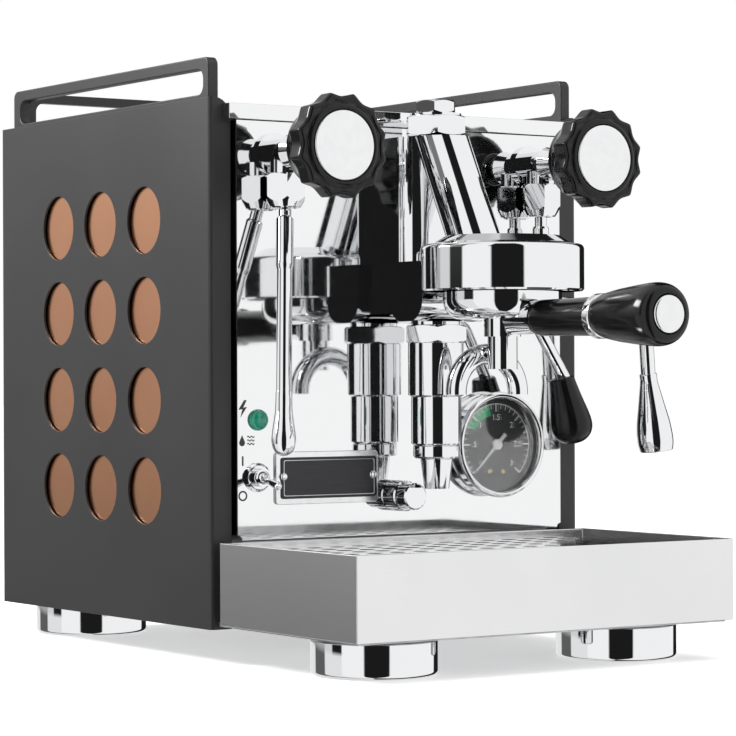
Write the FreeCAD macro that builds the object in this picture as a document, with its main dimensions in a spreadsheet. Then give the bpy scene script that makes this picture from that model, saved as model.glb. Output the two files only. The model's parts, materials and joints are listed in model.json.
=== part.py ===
import FreeCAD, Part
import math
import os
from types import SimpleNamespace

import Sketcher

# Heat-exchanger espresso machine with a lever brew group.
# +X is the machine's right side seen from the front, +Y the back, +Z up, millimetres.
# Every piece is drawn from the plane of the casing's front edge (Y = 0) and the bench
# (Z = 0); its Placement then moves it back so that the origin is the middle of the
# four feet, on the bench.

DIMENSIONS = {
    "front": -69.3,
    "half_width": 137.0,
    "depth": 271.5,
    "panel_low": 20.4,
    "panel_high": 335.8,
    "sheet": 1.5,
    "flange": 14.7,
    "flange_round": 11.0,
    "window": 41.0,
    "window_pitch_y": 56.0,
    "window_pitch_z": 55.3,
    "window_mid_y": 135.3,
    "window_low_z": 100.4,
    "rail_out": 135.2,
    "rail_bar": 7.0,
    "rail_front": 3.9,
    "rail_back": 257.4,
    "rail_low": 331.0,
    "rail_top": 360.0,
    "mirror_half": 120.5,
    "mirror_front": -4.0,
    "mirror_low": 73.0,
    "mirror_high": 322.4,
    "plate_low": 22.4,
    "plate_thick": 2.6,
    "foot_radius": 36.4,
    "foot_high": 21.6,
    "foot_x": 88.2,
    "foot_front": -99.9,
    "foot_back": 238.5,
    "tray_half": 135.5,
    "tray_front": -153.5,
    "tray_back": -8.0,
    "tray_low": 23.6,
    "tray_high": 72.2,
    "valve_x": 95.2,
    "valve_high": 303.0,
    "nut_y": -17.5,
    "nut_low": 270.0,
    "nut_high": 291.5,
    "ball_high": 277.5,
    "ball_radius": 6.6,
    "knob_radius": 31.0,
    "knob_back": -38.0,
    "wand_radius": 4.6,
    "sleeve_radius": 5.2,
    "group_y": -38.0,
    "bell_y": -105.0,
    "bell_radius": 48.0,
    "bell_low": 219.6,
    "bell_high": 247.0,
    "neck_radius": 15.8,
    "cup_radius": 35.0,
    "lever_high": 214.0,
    "handle_high": 203.3,
    "spout_y": -89.5,
    "spout_arm": 22.4,
    "spout_tube": 6.2,
    "gauge_x": 66.0,
    "gauge_high": 127.0,
    "gauge_radius": 33.2,
    "dial_radius": 28.8,
    "drain_x": -8.0,
    "drain_high": 96.9,
    "lamp_x": -106.4,
    "lamp_high": 144.3,
    "switch_x": -107.2,
    "switch_high": 110.1,
    "boiler_radius": 57.0,
    "boiler_half": 88.0,
    "boiler_y": 95.0,
    "boiler_high": 205.0,
    "gap": 0.4,
}

doc = FreeCAD.newDocument("espresso_machine")
sheet = doc.addObject("Spreadsheet::Sheet", "dims")
for row, (alias, number) in enumerate(DIMENSIONS.items(), 1):
    sheet.set(f"A{row}", alias)
    sheet.set(f"B{row}", str(number))
    sheet.setAlias(f"B{row}", alias)
doc.recompute()


class Size:
    """A length with its value now and the sheet expression that it follows."""

    def __init__(self, value, text):
        self.value = value
        self.text = text

    def __add__(self, other):
        return Size(self.value + number_of(other), f"({self.text} + {text_of(other)})")

    def __radd__(self, other):
        return Size(number_of(other) + self.value, f"({text_of(other)} + {self.text})")

    def __sub__(self, other):
        return Size(self.value - number_of(other), f"({self.text} - {text_of(other)})")

    def __rsub__(self, other):
        return Size(number_of(other) - self.value, f"({text_of(other)} - {self.text})")

    def __mul__(self, other):
        return Size(self.value * number_of(other), f"({self.text} * {text_of(other)})")

    def __rmul__(self, other):
        return Size(number_of(other) * self.value, f"({text_of(other)} * {self.text})")

    def __truediv__(self, other):
        return Size(self.value / number_of(other), f"({self.text} / {text_of(other)})")

    def __neg__(self):
        return Size(-self.value, f"(0 - {self.text})")


def number_of(size):
    return size.value if isinstance(size, Size) else float(size)


def text_of(size):
    return size.text if isinstance(size, Size) else repr(float(size))


S = SimpleNamespace(**{name: Size(number, f"dims.{name}") for name, number in DIMENSIONS.items()})

X_AXIS = FreeCAD.Vector(1, 0, 0)
Y_AXIS = FreeCAD.Vector(0, 1, 0)
Z_AXIS = FreeCAD.Vector(0, 0, 1)
LEFT = -1
RIGHT = 1
SIDES = ((LEFT, "left"), (RIGHT, "right"))

places = {}
nodes = []


# ---- helpers ---------------------------------------------------------------

def bind(obj, prop, size):
    """Set a length property, and tie it to the sheet where it comes from there."""
    setattr(obj, prop, number_of(size))
    if isinstance(size, Size):
        obj.setExpression(prop, size.text)


def place(obj, at, turn=None):
    """Put an object at a point, with its own +Z turned by the given rotation."""
    base = FreeCAD.Vector(*[number_of(size) for size in at])
    obj.Placement = FreeCAD.Placement(base, turn or FreeCAD.Rotation())
    for axis, size in zip("xyz", at):
        if isinstance(size, Size):
            obj.setExpression(f"Placement.Base.{axis}", size.text)
    places[obj.Name] = at
    return obj


def towards(direction):
    """Rotation that carries +Z to a direction."""
    return FreeCAD.Rotation(Z_AXIS, FreeCAD.Vector(*direction))


def block(name, low, size):
    obj = doc.addObject("Part::Box", name)
    for prop, length in zip(("Length", "Width", "Height"), size):
        bind(obj, prop, length)
    return place(obj, low)


def span(name, low, high):
    """A box from its lowest to its highest corner."""
    return block(name, low, [upper - lower for lower, upper in zip(low, high)])


def rod(name, base, radius, length, direction=(0, 0, 1)):
    obj = doc.addObject("Part::Cylinder", name)
    bind(obj, "Radius", radius)
    bind(obj, "Height", length)
    return place(obj, base, towards(direction))


def taper(name, base, radius_low, radius_high, length, direction=(0, 0, 1)):
    obj = doc.addObject("Part::Cone", name)
    bind(obj, "Radius1", radius_low)
    bind(obj, "Radius2", radius_high)
    bind(obj, "Height", length)
    return place(obj, base, towards(direction))


def ball(name, centre, radius):
    obj = doc.addObject("Part::Sphere", name)
    bind(obj, "Radius", radius)
    return place(obj, centre)


def hexagon(name, base, across, length, direction=(0, 0, 1), turn=0.0):
    """A hexagonal prism, sized across its flats."""
    obj = doc.addObject("Part::Prism", name)
    obj.Polygon = 6
    bind(obj, "Circumradius", across / math.sqrt(3.0))
    bind(obj, "Height", length)
    spin = FreeCAD.Rotation(Z_AXIS, turn)
    return place(obj, base, towards(direction).multiply(spin))


def nut_blank(name, at, across, length, turn, bevel=1.6):
    """An upright hexagon whose corners are turned off at both ends."""
    bar = hexagon(f"{name}_bar", at, across, length, turn=turn)
    corner = across / math.sqrt(3.0)
    face = 0.48 * across
    turning = turned(f"{name}_turning", [
        (0, 0), (face, 0), (corner, bevel), (corner, length - bevel), (face, length), (0, length)], at=at)
    return common(f"{name}_blank", bar, turning)


def join(name, *shapes):
    obj = doc.addObject("Part::MultiFuse", name)
    obj.Shapes = list(shapes)
    obj.Refine = True
    return place(obj, (0, 0, 0))


def cut(name, base, *tools):
    obj = doc.addObject("Part::Cut", name)
    obj.Base = base
    obj.Tool = tools[0] if len(tools) == 1 else join(f"{name}_tools", *tools)
    return place(obj, (0, 0, 0))


def common(name, *shapes):
    obj = doc.addObject("Part::MultiCommon", name)
    obj.Shapes = list(shapes)
    return place(obj, (0, 0, 0))


def group(name, *shapes):
    """Separate solids kept side by side in one piece."""
    obj = doc.addObject("Part::Compound", name)
    obj.Links = list(shapes)
    return place(obj, (0, 0, 0))


def rounded(name, base, radius, wanted):
    """Fillet the edges for which wanted(edge) is true."""
    doc.recompute()
    obj = doc.addObject("Part::Fillet", name)
    obj.Base = base
    chosen = [index for index, edge in enumerate(base.Shape.Edges, 1) if wanted(edge)]
    obj.Edges = [(index, radius, radius) for index in chosen]
    return place(obj, (0, 0, 0))


def upright(edge):
    return len(edge.Vertexes) == 2 and abs(edge.tangentAt(edge.FirstParameter).z) > 0.999


def origin_plane(body, role):
    return next(item for item in body.Origin.OriginFeatures if item.Role == role)


def arc_between(start, end, radius):
    """Arc from start to end; a positive radius bulges to the left of the way."""
    half = (end - start) / 2
    away = FreeCAD.Vector(-half.y, half.x, 0).normalize()
    side = 1 if radius > 0 else -1
    reach = math.sqrt(max(radius * radius - half.Length ** 2, 0.0))
    centre = start + half - away * side * reach
    first, last = (end, start) if radius > 0 else (start, end)
    from_angle = math.atan2(first.y - centre.y, first.x - centre.x)
    to_angle = math.atan2(last.y - centre.y, last.x - centre.x)
    if to_angle < from_angle:
        to_angle += 2 * math.pi
    return Part.ArcOfCircle(Part.Circle(centre, Z_AXIS, abs(radius)), from_angle, to_angle)


def outline(body, role, points, name):
    """Closed sketch through the points; (x, y, radius) arrives at a point along an arc."""
    sketch = body.newObject("Sketcher::SketchObject", name)
    sketch.AttachmentSupport = [(origin_plane(body, role), "")]
    sketch.MapMode = "FlatFace"
    corners = [FreeCAD.Vector(number_of(point[0]), number_of(point[1]), 0) for point in points]
    count = len(points)
    ends = []
    for index in range(count):
        following = (index + 1) % count
        arrival = points[following]
        start, end = corners[index], corners[following]
        if len(arrival) == 3:
            sketch.addGeometry(arc_between(start, end, arrival[2]), False)
            ends.append((2, 1) if arrival[2] > 0 else (1, 2))
        else:
            sketch.addGeometry(Part.LineSegment(start, end), False)
            ends.append((1, 2))
    for index in range(count):
        following = (index + 1) % count
        join_ends = Sketcher.Constraint("Coincident", index, ends[index][1], following, ends[following][0])
        sketch.addConstraint(join_ends)
        for kind, size in zip(("DistanceX", "DistanceY"), points[index]):
            held = Sketcher.Constraint(kind, -1, 1, index, ends[index][0], number_of(size))
            number = sketch.addConstraint(held)
            if isinstance(size, Size):
                sketch.setExpression(f"Constraints[{number}]", size.text)
        if len(points[following]) == 3:
            radius = Sketcher.Constraint("Radius", index, abs(points[following][2]))
            sketch.addConstraint(radius)
    return sketch


def turned(name, points, at=(0, 0, 0), direction=(0, 0, 1)):
    """A body turned about its own Z from (radius, height) points."""
    body = doc.addObject("PartDesign::Body", name)
    sketch = outline(body, "XZ_Plane", points, f"{name}_profile")
    turning = body.newObject("PartDesign::Revolution", f"{name}_turn")
    turning.Profile = sketch
    turning.ReferenceAxis = (sketch, ["V_Axis"])
    turning.Angle = 360
    return place(body, at, towards(direction))


def padded(name, points, length, at=(0, 0, 0), role="XY_Plane", turn=None):
    """A body padded from an outline on one of its own planes."""
    body = doc.addObject("PartDesign::Body", name)
    sketch = outline(body, role, points, f"{name}_outline")
    pad = body.newObject("PartDesign::Pad", f"{name}_pad")
    pad.Profile = sketch
    bind(pad, "Length", length)
    return place(body, at, turn)


def node(obj, label):
    """Give a finished piece its name, and move it back to the middle of the feet."""
    at = places[obj.Name]
    base = obj.Placement.Base
    obj.Placement = FreeCAD.Placement(FreeCAD.Vector(base.x, base.y + number_of(S.front), base.z),
                                      obj.Placement.Rotation)
    obj.setExpression("Placement.Base.y", text_of(at[1] + S.front))
    obj.Label = label
    nodes.append(obj)


def pipe(name, points, bend, radius, hollow=0.0):
    """Tube along straight runs joined by tangent arcs of one bend radius."""
    path = [FreeCAD.Vector(*[number_of(size) for size in point]) for point in points]
    edges = []
    start = path[0]
    for before, corner, after in zip(path, path[1:], path[2:]):
        come = (corner - before).normalize()
        go = (after - corner).normalize()
        turn = come.getAngle(go)
        trim = bend * math.tan(turn / 2)
        first = corner - come * trim
        last = corner + go * trim
        inward = (go - come).normalize()
        middle = corner + inward * (bend / math.cos(turn / 2) - bend)
        edges.append(Part.LineSegment(start, first).toShape())
        edges.append(Part.Arc(first, middle, last).toShape())
        start = last
    edges.append(Part.LineSegment(start, path[-1]).toShape())
    way = Part.Wire(edges)
    heading = (path[1] - path[0]).normalize()
    rings = [Part.Wire(Part.makeCircle(radius, path[0], heading))]
    tube = way.makePipeShell(rings, True, False)
    if hollow:
        bore = way.makePipeShell([Part.Wire(Part.makeCircle(hollow, path[0], heading))], True, False)
        tube = tube.cut(bore)
    obj = doc.addObject("Part::Feature", name)
    obj.Shape = tube
    return place(obj, (0, 0, 0))


# ---- casing ----------------------------------------------------------------

def base_plate():
    """Folded steel chassis plate that carries the casing, the tray and the feet."""
    tongue_half = S.tray_half - S.sheet - 2
    half = S.half_width - S.sheet
    between = S.half_width - S.flange - S.gap
    top = S.plate_low + S.plate_thick
    tongue = span("base_tongue", (-tongue_half, S.tray_front + 4, S.plate_low), (tongue_half, -S.gap, top))
    throat = span("base_throat", (-between, -2, S.plate_low), (between, 20, top))
    floor = span("base_floor", (-half, 6, S.plate_low), (half, S.depth - 8, top))
    plate = join("base_sheet", tongue, throat, floor)
    lips = []
    for side, word in SIDES:
        edge = half if side == RIGHT else -half + 2
        lips.append(span(f"base_lip_{word}", (edge - 2, 12, S.plate_low), (edge, S.depth - 8, 40)))
    vents = [span(f"base_vent_{n}", (-60, 60 + 36 * n, 0), (60, 72 + 36 * n, 40)) for n in range(4)]
    node(cut("base_cut", join("base_whole", plate, *lips), *vents), "base_plate")


def foot_places():
    for side in (LEFT, RIGHT):
        for y in (S.foot_front, S.foot_back):
            yield side * S.foot_x, y


def feet():
    """Turned feet, each with its bush under the plate and a rubber pad below."""
    shells = []
    pads = []
    for n, (x, y) in enumerate(foot_places()):
        shell = turned(f"foot_shell_{n}", [
            (0, 2.4), (S.foot_radius - 6, 2.4), (S.foot_radius - 6, 0.6), (S.foot_radius - 1.6, 0.6),
            (S.foot_radius, 2.2), (S.foot_radius, S.foot_high - 1.4),
            (S.foot_radius - 2.4, S.foot_high - 1.4),
            (S.foot_radius - 2.4, S.plate_low), (0, S.plate_low)], at=(x, y, 0))
        shells.append(shell)
        pads.append(rod(f"foot_pad_{n}", (x, y, 0), S.foot_radius - 8, 2.4))
    node(group("foot_set", *shells, *pads), "feet")


def side_panel(side, word):
    """Folded side panel with its grid of round windows."""
    outer = side * S.half_width
    inner = side * (S.half_width - S.sheet)
    tip = side * (S.half_width - S.flange)
    back_tip = side * (S.half_width - 12)
    profile = [(outer, 3), (outer, S.depth - 1), (outer - side, S.depth), (back_tip, S.depth),
               (back_tip, S.depth - S.sheet), (inner, S.depth - S.sheet), (inner, S.sheet),
               (tip, S.sheet), (tip, 0), (outer - side * 3, 0)]
    profile[0] = (outer, 3, 3.0 if side == LEFT else -3.0)
    body = padded(f"panel_{word}", profile, S.panel_high - S.panel_low, at=(0, 0, S.panel_low))
    windows = []
    for column in range(3):
        for level in range(4):
            y = S.window_mid_y + (column - 1) * S.window_pitch_y
            z = S.window_low_z + level * S.window_pitch_z
            windows.append(rod(f"window_{word}_{column}_{level}", (outer - side * 6, y, z),
                               S.window / 2, 12, (side, 0, 0)))
    corner = S.half_width - S.flange
    centre_x = corner + S.flange_round
    corner_box = span(f"corner_box_{word}", (corner - 2, -1, S.panel_high - S.flange_round),
                      (centre_x, S.sheet + 0.5, S.panel_high + 1))
    if side == LEFT:
        corner_box = span(f"corner_box_flip_{word}", (-centre_x, -1, S.panel_high - S.flange_round),
                          (2 - corner, S.sheet + 0.5, S.panel_high + 1))
    rounding = rod(f"corner_round_{word}", (side * centre_x, -2, S.panel_high - S.flange_round),
                   S.flange_round, 6, (0, 1, 0))
    nip = cut(f"corner_nip_{word}", corner_box, rounding)
    pierced = cut(f"panel_cut_{word}", body, *windows, nip)
    node(pierced, f"side_panel_{word}")


def copper_panels():
    """Copper sheets behind the windows of both sides."""
    sheets = []
    for side, word in SIDES:
        outer = side * (S.half_width - 2.4)
        low_x = outer if side == LEFT else outer - 1
        sheet_body = span(f"copper_{word}", (low_x, 44, 64), (low_x + 1, 228, 304))
        sheets.append(rounded(f"copper_round_{word}", sheet_body, 6.0, lambda edge: edge.Length < 1.5))
    node(group("copper_pair", *sheets), "copper_panels")


def rails():
    """Flat-bar loops at both sides, and one across the back, which keep cups on top."""
    for side, word in SIDES:
        near = side * (S.rail_out - S.rail_bar)
        low_x = -S.rail_out if side == LEFT else near
        loop = span(f"rail_bar_{word}", (low_x, S.rail_front, S.rail_low),
                    (low_x + S.rail_bar, S.rail_back, S.rail_top))
        soft = rounded(f"rail_soft_{word}", loop, 5.0,
                       lambda edge: is_along(edge, X_AXIS) and edge.CenterOfMass.z > 350)
        hole = span(f"rail_hole_{word}", (low_x - 1, S.rail_front + 6.5, S.rail_low + S.rail_bar),
                    (low_x + S.rail_bar + 1, S.rail_back - 9, S.rail_top - S.rail_bar))
        hole_soft = rounded(f"rail_hole_soft_{word}", hole, 6.0, lambda edge: is_along(edge, X_AXIS))
        node(cut(f"rail_cut_{word}", soft, hole_soft), f"cup_rail_{word}")
    half = S.rail_out - S.rail_bar
    back = S.rail_back - S.rail_bar
    whole = span("rear_rail_bar", (-half, back, S.rail_low), (half, back + 6, S.rail_top - 1))
    opening = span("rear_rail_hole", (6 - half, back - 1, S.rail_low - 1),
                   (half - 6, back + 7, S.rail_top - 7))
    soft_opening = rounded("rear_rail_soft", opening, 6.0, lambda edge: is_along(edge, Y_AXIS))
    node(cut("rear_rail_cut", whole, soft_opening), "cup_rail_rear")


def is_along(edge, axis):
    if len(edge.Vertexes) != 2:
        return False
    return abs(edge.tangentAt(edge.FirstParameter).dot(axis)) > 0.999


def front_openings(name, low_y, high_y, slack):
    """Tools that clear every piece that passes through the front sheets."""
    length = high_y - low_y
    tools = [rod(f"{name}_valve_{word}", (side * S.valve_x, low_y, S.valve_high), 11.5 + slack, length,
                 (0, 1, 0))
             for side, word in SIDES]
    tools.append(span(f"{name}_group", (-17 - slack, low_y, 213 - slack), (17 + slack, high_y, 306 + slack)))
    tools.append(rod(f"{name}_gauge", (S.gauge_x, low_y, S.gauge_high), 27.2 + slack, length, (0, 1, 0)))
    tools.append(rod(f"{name}_lamp", (S.lamp_x, low_y, S.lamp_high), 6 + slack, length, (0, 1, 0)))
    tools.append(rod(f"{name}_switch", (S.switch_x, low_y, S.switch_high), 6 + slack, length, (0, 1, 0)))
    tools.append(rod(f"{name}_drain", (S.drain_x, low_y, S.drain_high), 5 + slack, length, (0, 1, 0)))
    return tools


def front_sheets():
    """Polished front panel, folded back along its sides, and the bulkhead behind it."""
    half = S.mirror_half
    face = S.mirror_front
    back = face + 9
    fold = [(-half, face), (half, face), (half, back), (half - S.sheet, back),
            (half - S.sheet, face + S.sheet), (S.sheet - half, face + S.sheet), (S.sheet - half, back),
            (-half, back)]
    panel = padded("mirror_fold", fold, S.mirror_high - S.mirror_low, at=(0, 0, S.mirror_low))
    nips = [taper(f"mirror_nip_{word}", (side * half, face - 5, S.mirror_low), 3.0, 3.0, 20, (0, 1, 0))
            for side, word in SIDES]
    tools = front_openings("mirror_hole", face - 5, face + 5, 0.3)
    node(cut("mirror_cut", panel, *tools, *nips), "front_panel")
    bulkhead = span("bulkhead_sheet", (-118, 8, S.plate_low + S.plate_thick), (118, 10, 320))
    tools = front_openings("bulkhead_hole", S.sheet + 2, S.sheet + 20, 2.0)
    node(cut("bulkhead_cut", bulkhead, *tools), "front_bulkhead")


def back_sheet():
    """Back panel with louvre slots and the cut-out for the power inlet."""
    y = S.depth - 4
    blank = span("back_blank", (-123, y, S.plate_low + S.plate_thick), (123, y + 1.5, S.rail_low))
    fold_front = S.rail_back - S.rail_bar - S.gap / 2
    fold = span("back_fold", (-123, fold_front, S.rail_low - S.sheet), (123, y + 1, S.rail_low))
    panel = join("back_folded", blank, fold)
    slots = [span(f"back_slot_{n}", (-70, y - 2, 150 + 14 * n), (70, y + 3, 155 + 14 * n)) for n in range(9)]
    inlet = span("back_inlet", (60.8, y - 2, 50.8), (87.2, y + 3, 69.2))
    node(cut("back_cut", panel, *slots, inlet), "back_panel")


def cup_tray():
    """Lift-off cup warmer on top: a shallow pan with drain slots over the water tank."""
    half = S.rail_out - S.rail_bar - S.gap
    back = S.rail_back - S.rail_bar - 2 * S.gap
    pan = span("cup_pan", (-half, S.tray_back, 322.8), (half, back, 332))
    recess = span("cup_recess", (1.2 - half, S.tray_back + 1.2, 325), (half - 1.2, back - 1.2, 340))
    slots = []
    for row in range(6):
        for column in range(5):
            slots.append(span(f"cup_slot_{row}_{column}",
                              (-86 + 38 * column, 24 + 36 * row, 320),
                              (-66 + 38 * column, 29 + 36 * row, 330)))
    tip = S.half_width - S.flange - S.gap
    notches = [span("cup_notch_left", (-half - 1, -S.gap, 320), (-tip, S.sheet + S.gap, 340)),
               span("cup_notch_right", (tip, -S.gap, 320), (half + 1, S.sheet + S.gap, 340))]
    node(cut("cup_cut", pan, recess, *slots, *notches), "cup_tray")


def water_tank():
    """Tank behind the boiler, with its lid and the filler hole."""
    half = 104
    front, back = 180, 244
    low, high = 44, 306
    wall = 2.5
    shell = span("tank_shell", (-half, front, low), (half, back, high))
    hollow = span("tank_hollow", (wall - half, front + wall, low + 3), (half - wall, back - wall, high + 4))
    node(cut("tank_cut", shell, hollow), "water_tank")
    lid = span("lid_plate", (-half, front, high), (half, back, high + 2))
    skirt = span("lid_skirt", (3 - half, front + 3, high - 4), (half - 3, back - 3, high))
    inner = span("lid_inner", (5 - half, front + 5, high - 6), (half - 5, back - 5, high))
    filler = span("lid_filler", (-40, front + 16, high - 10), (40, back - 16, high + 6))
    node(cut("lid_cut", join("lid_whole", lid, skirt), inner, filler), "tank_lid")


# ---- inside ----------------------------------------------------------------

def boiler():
    """Copper boiler across the casing, its exchanger tube brazed in, flanges and heater."""
    centre = (-S.boiler_half, S.boiler_y, S.boiler_high)
    along = (1, 0, 0)
    outer = rod("boiler_outer", centre, S.boiler_radius, 2 * S.boiler_half, along)
    inner = rod("boiler_inner", centre, S.boiler_radius - 1.5, 2 * S.boiler_half, along)
    pass_low = rod("boiler_pass", (0, S.boiler_y, S.boiler_high - 80), 13.0, 160)
    tube = rod("exchanger_outer", (0, S.boiler_y, S.boiler_high - 66), 14.0, 132)
    bore = rod("exchanger_inner", (0, S.boiler_y, S.boiler_high - 64), 12.5, 128)
    exchanger = cut("exchanger_cut", tube, bore)
    node(join("boiler_brazed", cut("boiler_cut", outer, inner, pass_low), exchanger), "boiler")
    ends = []
    bolts = []
    for side, word in SIDES:
        face = side * S.boiler_half
        start = face if side == RIGHT else face - 6
        ends.append(rod(f"boiler_end_{word}", (start, S.boiler_y, S.boiler_high), S.boiler_radius + 3, 6,
                        along))
        for n in range(8):
            angle = math.radians(45 * n + 22.5)
            y = S.boiler_y + 48 * math.cos(angle)
            z = S.boiler_high + 48 * math.sin(angle)
            head = face + side * 6 if side == RIGHT else face - 6 - 5
            bolts.append(hexagon(f"boiler_bolt_{word}_{n}", (head, y, z), 10, 5, along))
    node(group("boiler_flange_set", *ends, *bolts), "boiler_flanges")
    head = hexagon("heater_head", (-S.boiler_half - 6 - 8, S.boiler_y, S.boiler_high - 16), 34, 8, along)
    coil = pipe("heater_coil", [(-S.boiler_half, S.boiler_y - 20, S.boiler_high - 26),
                                (66, S.boiler_y - 20, S.boiler_high - 26),
                                (66, S.boiler_y + 20, S.boiler_high - 26),
                                (-S.boiler_half, S.boiler_y + 20, S.boiler_high - 26)], 14.0, 4.0)
    node(group("heater_set", head, coil), "heating_element")


def boiler_fittings():
    """Pressurestat, safety valve and vacuum breaker seated on top of the boiler."""
    top = S.boiler_high + S.boiler_radius - 2
    stat = join("pressurestat_whole", hexagon("stat_nut", (-50, S.boiler_y, top), 17, 10),
                rod("stat_can", (-50, S.boiler_y, top + 10), 18, 22),
                block("stat_terminals", (-60, S.boiler_y - 6, top + 32), (20, 12, 8)))
    safety = join("safety_whole", hexagon("safety_nut", (44, S.boiler_y, top), 17, 12),
                  rod("safety_tower", (44, S.boiler_y, top + 12), 7, 22),
                  rod("safety_cap", (44, S.boiler_y, top + 34), 9, 6))
    breaker = join("breaker_whole", hexagon("breaker_nut", (0, S.boiler_y + 26, top - 8), 14, 14),
                   taper("breaker_cone", (0, S.boiler_y + 26, top + 6), 7, 4, 12))
    seated = [cut(f"{word}_seated", whole, boiler_room(f"{word}_seat"))
              for word, whole in (("stat", stat), ("safety", safety), ("breaker", breaker))]
    node(group("fitting_set", *seated), "boiler_fittings")


def boiler_room(name):
    """The boiler's outside, taken out of whatever is seated on it."""
    centre = (-S.boiler_half, S.boiler_y, S.boiler_high)
    return rod(name, centre, S.boiler_radius + 0.05, 2 * S.boiler_half, (1, 0, 0))


def hydraulics():
    """Vibration pump, fill valve, control box and the copper pipes between them."""
    coil = rod("pump_coil", (-70, 60, 66), 26, 64, (0, 1, 0))
    inlet = rod("pump_inlet", (-70, 34, 66), 9, 26, (0, 1, 0))
    outlet = rod("pump_outlet", (-70, 124, 66), 11, 34, (0, 1, 0))
    saddle = span("pump_saddle", (-90, 80, 25), (-50, 100, 48))
    node(join("pump_whole", coil, inlet, outlet, saddle), "vibration_pump")
    body = span("fill_body", (70, 40, 44), (100, 70, 70))
    solenoid = rod("fill_solenoid", (85, 55, 70), 13, 34)
    stand = span("fill_stand", (78, 48, 25), (92, 62, 44))
    node(join("fill_whole", body, solenoid, stand), "fill_valve")
    case = span("control_case", (14, 100, 25), (64, 180, 60))
    node(rounded("control_round", case, 3.0, upright), "control_box")
    low_pipe = pipe("return_pipe", [(0, S.boiler_y, S.boiler_high - 66), (0, S.boiler_y, 118),
                                    (0, 30, 118), (0, 30, 226), (0, 13, 226)], 14.0, 4.0)
    high_pipe = pipe("feed_pipe", [(0, S.boiler_y, S.boiler_high + 66), (0, S.boiler_y, 296),
                                   (0, 13, 296)], 14.0, 4.0)
    steam = pipe("steam_pipe", [(-30, S.boiler_y - 16, S.boiler_high + S.boiler_radius - 4),
                                (-30, S.boiler_y - 16, S.valve_high),
                                (-S.valve_x, S.boiler_y - 16, S.valve_high),
                                (-S.valve_x, 26, S.valve_high)], 12.0, 4.0)
    water = pipe("water_pipe", [(68, S.boiler_y - 16, S.boiler_high + S.boiler_radius - 4),
                                (68, S.boiler_y - 16, S.valve_high),
                                (S.valve_x, S.boiler_y - 16, S.valve_high),
                                (S.valve_x, 26, S.valve_high)], 12.0, 4.0)
    steam_seated = cut("steam_pipe_seated", steam, boiler_room("steam_pipe_seat"))
    water_seated = cut("water_pipe_seated", water, boiler_room("water_pipe_seat"))
    node(group("copper_pipe_set", low_pipe, high_pipe, steam_seated, water_seated), "copper_pipes")


def power_inlet():
    """Recessed mains inlet with its three pins, in the back panel."""
    back = S.depth - 2.5
    shell = span("inlet_shell", (61, back - 20, 51), (87, back, 69))
    rim = span("inlet_rim", (58, back, 48), (90, back + 2, 72))
    recess = span("inlet_recess", (63, back - 17, 53), (85, back + 3, 67))
    pins = [span(f"inlet_pin_{n}", (73 + x, back - 18, 58 + z), (75 + x, back - 3, 62 + z))
            for n, (x, z) in enumerate(((-7, -1.5), (0, 1.5), (7, -1.5)))]
    node(join("inlet_whole", cut("inlet_cut", join("inlet_solid", shell, rim), recess), *pins), "power_inlet")


# ---- brew group ------------------------------------------------------------

def group_casting():
    """The heated casting: column and block behind, slanted neck, and the bell in front."""
    y = S.group_y
    mount = span("group_mount", (-16.5, S.mirror_front - 1, 213), (16.5, 9.5, 305))
    column = span("group_column", (-19, -37.5, 238), (19, S.mirror_front, 315))
    column_soft = rounded("group_column_soft", column, 14.0,
                          lambda edge: upright(edge) and edge.CenterOfMass.y < -20)
    rear = span("group_rear", (-18, -22, 208), (18, S.mirror_front, 262))
    lower = span("group_lower", (-23, -56, 203), (23, -21, 239))
    lower_soft = rounded("group_lower_soft", lower, 13.0,
                         lambda edge: is_along(edge, X_AXIS) and edge.CenterOfMass.z < 210)
    neck_top = FreeCAD.Vector(0, number_of(y) - 4, 318)
    neck_foot = FreeCAD.Vector(0, -80, 246)
    slant = neck_foot - neck_top
    neck = rod("group_neck", tuple(neck_top), S.neck_radius, slant.Length, tuple(slant))
    head_block = span("group_head_block", (-30, -100, 314.5), (30, 0, 340))
    neck_cut = cut("group_neck_cut", neck, head_block)
    bell = turned("group_bell", [
        (0, 236), (S.bell_radius - 3.5, 236), (S.bell_radius - 3.5, S.bell_low),
        (S.bell_radius - 1, S.bell_low), (S.bell_radius, S.bell_low + 1), (S.bell_radius, S.bell_high - 3),
        (S.bell_radius - 3, S.bell_high, -3.0), (S.bell_radius - 8, S.bell_high + 1), (34, 252), (0, 253)],
        at=(0, S.bell_y, 0))
    bridge = span("group_bridge", (-20, -74, 224), (20, -50, 238.5))
    spout_room = rod("group_room", (0, S.bell_y, 200), S.bell_radius - 3.5, 36)
    gland = hexagon("group_gland", (22, y, S.lever_high), 19, 11.6, (1, 0, 0))
    casting = join("group_whole", mount, column_soft, rear, lower_soft, neck_cut, bell, bridge, gland)
    shaft_bore = rod("group_shaft_bore", (2, y, S.lever_high), 5.05, 40, (1, 0, 0))
    node(cut("group_cut", casting, spout_room, shaft_bore), "group_casting")


def mushroom():
    """Hexagon cap on the column, with the small hexagon of its jet plug on top."""
    y = S.group_y
    cap = nut_blank("cap_hex", (0, y, 315), 34.4, 12.4, -1.6)
    collar = rod("cap_collar", (0, y, 327), 15.5, 1.8)
    plug = nut_blank("plug_hex", (0, y, 328.8), 22.9, 8, -8.4)
    node(join("cap_whole", cap, collar, plug), "mushroom_cap")


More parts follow.
